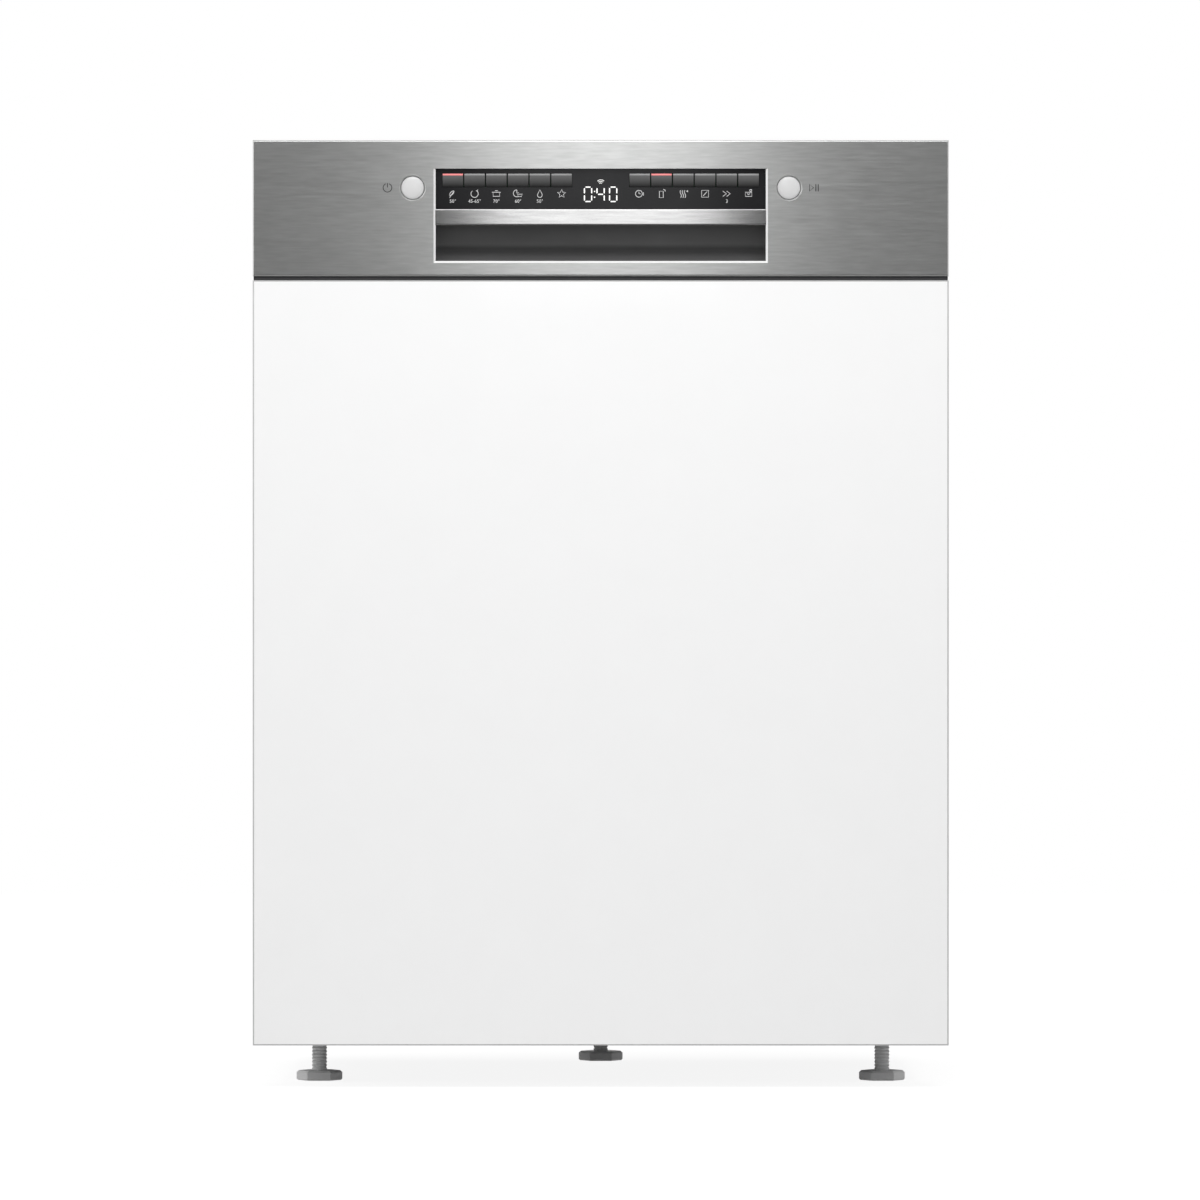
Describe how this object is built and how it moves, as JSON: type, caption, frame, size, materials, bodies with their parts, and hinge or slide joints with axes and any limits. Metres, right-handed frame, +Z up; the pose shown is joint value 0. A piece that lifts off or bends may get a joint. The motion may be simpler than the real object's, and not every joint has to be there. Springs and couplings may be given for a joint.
{
  "type": "dishwasher",
  "caption": "Semi-integrated built-in dishwasher with a steel control fascia, grip recess, white furniture panel, drop-down door, stainless tub, wire racks and spray arms.",
  "frame": {"origin": "on the floor, under the centre of the machine", "axes": "+X to the viewer's right when facing the door, +Y from the door to the back, +Z up"},
  "size_m": [0.598, 0.573, 0.815],
  "materials": {
    "steel_brushed": "brushed, straight grain across the width",
    "steel_bright": "polished",
    "gloss_black": "glossy",
    "recess_dark": "fine satin",
    "key_smoke": "satin with a lit upper edge",
    "button_silver": "silk silver",
    "board": "lacquered board",
    "front_white": "white lacquer, silk",
    "casing_steel": "galvanised, matt",
    "stainless": "satin stainless",
    "hinge_steel": "zinc plated",
    "strainer_steel": "perforated look, satin",
    "rail_steel": "satin",
    "rack_coat": "plastic coated wire",
    "grey_plastic": "moulded, satin",
    "light_plastic": "moulded, glossy",
    "dark_plastic": "moulded, matt",
    "seal_rubber": "matt",
    "felt": "felt"
  },
  "bodies": {
    "machine": {"side_panels": "casing_steel", "rear_panel": "casing_steel", "top_frame": "casing_steel", "tub": "stainless", "door_hinges": "hinge_steel", "latch_tongue": "hinge_steel", "fine_filter": "strainer_steel", "rack_rails": "rail_steel", "lower_rack": "rack_coat", "upper_rack": "rack_coat", "rack_wheels": "grey_plastic", "cutlery_basket": "grey_plastic", "upper_spray_duct": "grey_plastic", "spray_riser": "grey_plastic", "water_softener": "light_plastic", "base_tray": "dark_plastic", "kick_plate": "dark_plastic", "pumps": "dark_plastic", "sump": "dark_plastic", "water_connections": "dark_plastic", "door_seal": "seal_rubber", "tub_insulation": "felt"},
    "door": {"fascia": "steel_brushed", "display_cover": "gloss_black", "handle_bar": "steel_bright", "grip_pocket": "recess_dark", "control_housing": "recess_dark", "control_board": "board", "furniture_panel": "front_white", "outer_door": "casing_steel", "inner_door": "stainless", "door_latch": "dark_plastic", "dispenser": "grey_plastic", "door_bottom_seal": "seal_rubber", "hinge_arms": "hinge_steel"},
    "power_button": {"power_button": "button_silver"},
    "start_button": {"start_button": "button_silver"},
    "program_key_1": {"program_key_1": "key_smoke"},
    "program_key_2": {"program_key_2": "key_smoke"},
    "program_key_3": {"program_key_3": "key_smoke"},
    "program_key_4": {"program_key_4": "key_smoke"},
    "program_key_5": {"program_key_5": "key_smoke"},
    "program_key_6": {"program_key_6": "key_smoke"},
    "program_key_7": {"program_key_7": "key_smoke"},
    "program_key_8": {"program_key_8": "key_smoke"},
    "program_key_9": {"program_key_9": "key_smoke"},
    "program_key_10": {"program_key_10": "key_smoke"},
    "program_key_11": {"program_key_11": "key_smoke"},
    "program_key_12": {"program_key_12": "key_smoke"},
    "dispenser_lid": {"dispenser_lid": "light_plastic"},
    "rinse_aid_flap": {"rinse_aid_flap": "light_plastic"},
    "lower_spray_arm": {"lower_spray_arm": "grey_plastic"},
    "upper_spray_arm": {"upper_spray_arm": "grey_plastic"},
    "filter_cylinder": {"filter_cylinder": "dark_plastic"},
    "salt_cap": {"salt_cap": "light_plastic"},
    "folding_tines": {"folding_tines": "rack_coat"},
    "cup_shelf": {"cup_shelf": "grey_plastic"},
    "left_front_foot": {"left_front_foot": "dark_plastic"},
    "right_front_foot": {"right_front_foot": "dark_plastic"},
    "rear_foot": {"rear_foot": "dark_plastic"}
  },
  "joints": [
    {"name": "door_hinge", "type": "hinge", "parent": "machine", "child": "door", "pos_m": [0, -0.25, 0.096], "axis": [1, 0, 0], "range_deg": [0, 90], "stiffness_Nm_per_rad": 25},
    {"name": "power_button_press", "type": "slide", "parent": "door", "child": "power_button", "axis": [0, 1, 0], "range_m": [0, 0.002], "stiffness_N_per_m": 900},
    {"name": "start_button_press", "type": "slide", "parent": "door", "child": "start_button", "axis": [0, 1, 0], "range_m": [0, 0.002], "stiffness_N_per_m": 900},
    {"name": "program_key_1_press", "type": "slide", "parent": "door", "child": "program_key_1", "axis": [0, 1, 0], "range_m": [0, 0.0012], "stiffness_N_per_m": 1000},
    {"name": "program_key_2_press", "type": "slide", "parent": "door", "child": "program_key_2", "axis": [0, 1, 0], "range_m": [0, 0.0012], "stiffness_N_per_m": 1000},
    {"name": "program_key_3_press", "type": "slide", "parent": "door", "child": "program_key_3", "axis": [0, 1, 0], "range_m": [0, 0.0012], "stiffness_N_per_m": 1000},
    {"name": "program_key_4_press", "type": "slide", "parent": "door", "child": "program_key_4", "axis": [0, 1, 0], "range_m": [0, 0.0012], "stiffness_N_per_m": 1000},
    {"name": "program_key_5_press", "type": "slide", "parent": "door", "child": "program_key_5", "axis": [0, 1, 0], "range_m": [0, 0.0012], "stiffness_N_per_m": 1000},
    {"name": "program_key_6_press", "type": "slide", "parent": "door", "child": "program_key_6", "axis": [0, 1, 0], "range_m": [0, 0.0012], "stiffness_N_per_m": 1000},
    {"name": "program_key_7_press", "type": "slide", "parent": "door", "child": "program_key_7", "axis": [0, 1, 0], "range_m": [0, 0.0012], "stiffness_N_per_m": 1000},
    {"name": "program_key_8_press", "type": "slide", "parent": "door", "child": "program_key_8", "axis": [0, 1, 0], "range_m": [0, 0.0012], "stiffness_N_per_m": 1000},
    {"name": "program_key_9_press", "type": "slide", "parent": "door", "child": "program_key_9", "axis": [0, 1, 0], "range_m": [0, 0.0012], "stiffness_N_per_m": 1000},
    {"name": "program_key_10_press", "type": "slide", "parent": "door", "child": "program_key_10", "axis": [0, 1, 0], "range_m": [0, 0.0012], "stiffness_N_per_m": 1000},
    {"name": "program_key_11_press", "type": "slide", "parent": "door", "child": "program_key_11", "axis": [0, 1, 0], "range_m": [0, 0.0012], "stiffness_N_per_m": 1000},
    {"name": "program_key_12_press", "type": "slide", "parent": "door", "child": "program_key_12", "axis": [0, 1, 0], "range_m": [0, 0.0012], "stiffness_N_per_m": 1000},
    {"name": "lid_slide", "type": "slide", "parent": "door", "child": "dispenser_lid", "axis": [0, 0, -1], "range_m": [0, 0.054]},
    {"name": "flap_hinge", "type": "hinge", "parent": "door", "child": "rinse_aid_flap", "pos_m": [0.048, -0.2155, 0.4305], "axis": [1, 0, 0], "range_deg": [0, 100]},
    {"name": "lower_arm_turn", "type": "hinge", "parent": "machine", "child": "lower_spray_arm", "pos_m": [0, 0.014, 0.148], "axis": [0, 0, 1], "continuous": true},
    {"name": "upper_arm_turn", "type": "hinge", "parent": "machine", "child": "upper_spray_arm", "pos_m": [0, 0.014, 0.4545], "axis": [0, 0, 1], "continuous": true},
    {"name": "filter_turn", "type": "hinge", "parent": "machine", "child": "filter_cylinder", "pos_m": [0, -0.06, 0.11], "axis": [0, 0, 1], "range_deg": [0, 90]},
    {"name": "salt_cap_turn", "type": "hinge", "parent": "machine", "child": "salt_cap", "pos_m": [-0.15, -0.124, 0.125], "axis": [0, 0, 1], "range_deg": [0, 540]},
    {"name": "tine_fold", "type": "hinge", "parent": "machine", "child": "folding_tines", "pos_m": [0, 0, 0.186], "axis": [0, 1, 0], "range_deg": [0, 80]},
    {"name": "shelf_fold", "type": "hinge", "parent": "machine", "child": "cup_shelf", "pos_m": [-0.2312, 0, 0.578], "axis": [0, -1, 0], "range_deg": [0, 90]},
    {"name": "left_front_foot_height", "type": "slide", "parent": "machine", "child": "left_front_foot", "axis": [0, 0, -1], "range_m": [0, 0.06]},
    {"name": "right_front_foot_height", "type": "slide", "parent": "machine", "child": "right_front_foot", "axis": [0, 0, -1], "range_m": [0, 0.06]},
    {"name": "rear_foot_height", "type": "slide", "parent": "machine", "child": "rear_foot", "axis": [0, 0, -1], "range_m": [0, 0.06]}
  ]
}
